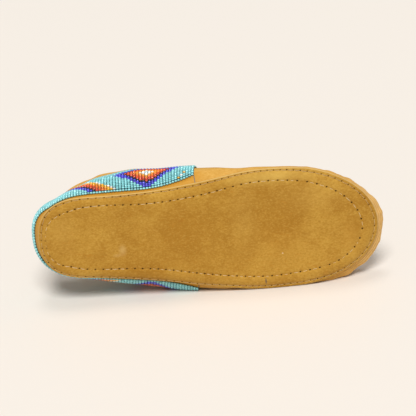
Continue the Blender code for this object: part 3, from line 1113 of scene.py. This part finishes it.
def hem_point(turn):
    """Point of the row of stitches through the folded hem of the collar and the throat."""
    point = at_arc(turn, topline(turn) - HEM)
    if along_at(turn) > SEAM_ALONG:
        # Round the throat the hem runs square to the edge and not down the wall.
        ahead = turn_at(min(along_at(turn) + 3.0 * MM / SOLE_LENGTH, 0.999))
        front = at_arc(copysign(ahead, turn), topline(turn))
        point = point.lerp(front, smooth_step(SEAM_ALONG, THROAT_ALONG, along_at(turn)))
    return point


def make_collar_stitches(thread):
    """A row of stitches that holds the folded hem of the collar and the throat."""
    curve = thread_curve("collar_stitches", 0.16 * MM)
    turns = [turn for turn in upper_turns() if along_at(turn) < THROAT_ALONG - 0.0005]
    line = [hem_point(turn) for turn in turns]
    lengths = arcs_of(line)
    step, stitch = 5.2 * MM, 3.4 * MM
    for k in range(int(lengths[-1] / step)):
        points = []
        for along_stitch, lift in ((0, -0.25), (0.5, 0.40), (1, -0.25)):
            i, share = step_at(lengths, k * step + along_stitch * stitch)
            out = on_skin(turns[i], topline(turns[i]) - HEM)[3]
            points.append(line[i].lerp(line[i + 1], share) + out * lift * MM)
        add_run(curve, points)
    finish_thread(curve, thread)


def make_cords(pale, grey):
    """The cord that binds the top of the band, and the sewn side seams below it."""
    places = []
    for turn in band_turns(200):
        arc = band_low(turn) + BAND_WIDTH + 0.3 * MM
        places.append((leaned(turn, arc), arc, 0.9 * MM))
    make_cord("band_top_cord", places, 0.50 * MM, pale)
    seam = turn_at(SEAM_ALONG)
    foot, steps = 0.8 * MM, 8
    for name, side in (("inner", 1), ("outer", -1)):
        places = [(side * seam, foot + (band_low(seam) - foot) * i / steps,
                   0.10 * MM + 0.12 * MM * (i % 2)) for i in range(steps + 1)]
        make_cord("side_seam_thread_" + name, places, 0.30 * MM, grey)


# ---- the insole


def make_insole(material):
    """The thin leather on top of the sole, a little worn in."""
    turns, places = spaced_turns("edge", 260), 90
    floor, top = SOLE_THICKNESS + GAP, 2.0
    # Share of the way out from the centre line, inset and height, both in millimetres.
    section = ((0, 0, 0), (0.5, 0, 0), (1, 0.5, 0), (1, 0, 0.5), (1, 0, 1.4), (1, 0.2, 1.8),
               (1, 0.7, top), (0.93, 0, top), (0.8, 0, top), (0.6, 0, top), (0.4, 0, top),
               (0.2, 0, top), (0, 0, top))

    def place(turn, j):
        share, back, height = section[j]
        edge = inset_point(turn, INSOLE_INSET + back * MM)
        point = shared_spine(turn, places).lerp(edge, share)
        worn = noise.noise(point / (16 * MM)) * 0.2 * MM if height == top else 0
        point.y = underside(point) + floor + height * MM + min(worn, 0)
        return point,

    mesh = grid_sheet(turns, len(section), place)
    bmesh.ops.recalc_face_normals(mesh, faces=mesh.faces)
    finish_piece("insole_leather", mesh, [material], "insole")


# ---- floor, light and camera


def make_stage():
    """The pale floor, the even light of the room, a broad key light and a weak one behind."""
    floor_mesh = bpy.data.meshes.new("floor")
    ground = bmesh.new()
    bmesh.ops.create_grid(ground, x_segments=1, y_segments=1, size=6)
    ground.to_mesh(floor_mesh)
    ground.free()
    floor = add_object("floor", floor_mesh)
    material, _, _ = new_material("pale_floor", 0.55, (0.800, 0.745, 0.680))
    floor_mesh.materials.append(material)

    world = bpy.data.worlds.new("studio")
    world.use_nodes = True
    sky = world.node_tree.nodes["Background"]
    sky.inputs["Color"].default_value = (1.0, 0.97, 0.93, 1)
    sky.inputs["Strength"].default_value = 0.29
    bpy.context.scene.world = world

    for name, direction, width, strength in (
            ("key_light", (0.01, 0.57, -0.81), 24, 2.94),
            ("back_light", (0.02, -0.14, -1), 18, 0.58)):
        lamp = bpy.data.lights.new(name, "SUN")
        lamp.angle = radians(width)
        lamp.energy = strength
        light = add_object(name, lamp)
        light.rotation_euler = Vector(direction).to_track_quat("-Z", "Y").to_euler()


def make_camera():
    """Looks at the sole from a little to its inner side, rolled with the lying shoe."""
    tilt, roll = radians(22.0), radians(2.4)
    distance, frame_width = 1.300, 416
    towards = Vector((0, cos(tilt), -sin(tilt)))
    level = Vector((1, 0, 0))
    upright = level.cross(towards)
    right = level * cos(roll) - upright * sin(roll)
    top = upright * cos(roll) + level * sin(roll)
    aim = Vector((0.125, 0, 0))
    eye = aim - towards * distance
    basis = Matrix((right, top, -towards)).transposed().to_4x4()
    camera_data = bpy.data.cameras.new("camera")
    camera_data.lens = 152.0
    camera_data.sensor_width = 36.0
    camera_data.shift_x = 1 / frame_width
    camera_data.shift_y = 25 / frame_width
    camera = add_object("camera", camera_data)
    camera.matrix_world = LYING @ Matrix.Translation(eye) @ basis
    bpy.context.scene.camera = camera


# ---- everything together


def build():
    bpy.context.scene.view_settings.view_transform = "Standard"
    make_camera()
    make_stage()
    groups = make_nap_group(), make_spot_group()
    golden = suede("sole_golden_suede", groups, (0.61, 0.362, 0.074), (0.468, 0.254, 0.036),
                   (0.345, 0.160, 0.014), SOLE_MARKS, ("cut_edge", "hole"))
    # The upper's suede is lighter than the sole's: partly a lighter, smoother leather, and partly
    # painted light for the light that falls on the upper from above.
    outside = suede("upper_golden_suede", groups, (0.74, 0.45, 0.125), (0.64, 0.36, 0.080),
                    (0.52, 0.265, 0.042), layers=("painted_shade", "painted_crest_highlight"))
    inside = suede("inside_suede", groups, (0.66, 0.45, 0.22), (0.56, 0.36, 0.16),
                   (0.42, 0.25, 0.10))
    footbed = suede("insole_suede", groups, (0.70, 0.52, 0.32), (0.60, 0.42, 0.24),
                    (0.46, 0.30, 0.15))
    # The backing's dark teal is painted shade, for the shade between the beads.
    backing = suede("backing_leather_painted_shade", groups, (0.030, 0.10, 0.11), (0.018, 0.06, 0.07),
                    (0.010, 0.03, 0.035))
    thread = thread_material("beige_thread", (0.84, 0.65, 0.36))
    fine_thread = thread_material("brown_thread", (0.70, 0.50, 0.25))
    beads = {
        "turquoise": bead_glass("turquoise_beads", (0.26, 0.645, 0.67)),
        "blue": bead_glass("blue_violet_beads", (0.085, 0.075, 0.66)),
        "black": bead_glass("black_beads", (0.012, 0.012, 0.016)),
        "red": bead_glass("red_orange_beads", (0.72, 0.085, 0.030)),
        "orange": bead_glass("orange_beads", (0.88, 0.22, 0.020)),
        "yellow": bead_glass("yellow_beads", (0.92, 0.44, 0.030)),
        "white": bead_glass("white_beads", (0.86, 0.84, 0.80)),
    }
    make_sole(golden)
    make_stitches("outer_stitches", "outer", outer_inset, 0.6 * MM, 0.11 * MM, fine_thread)
    make_stitches("inner_stitches", "inner", inner_inset, 0.7 * MM, 0.17 * MM, thread)
    make_upper(outside, inside)
    make_insole(footbed)
    make_collar_stitches(thread)
    make_cords(thread_material("pale_cord", (0.82, 0.66, 0.52)),
               thread_material("grey_thread", (0.26, 0.22, 0.17)))
    make_backing(backing)
    make_beads(beads)


build()
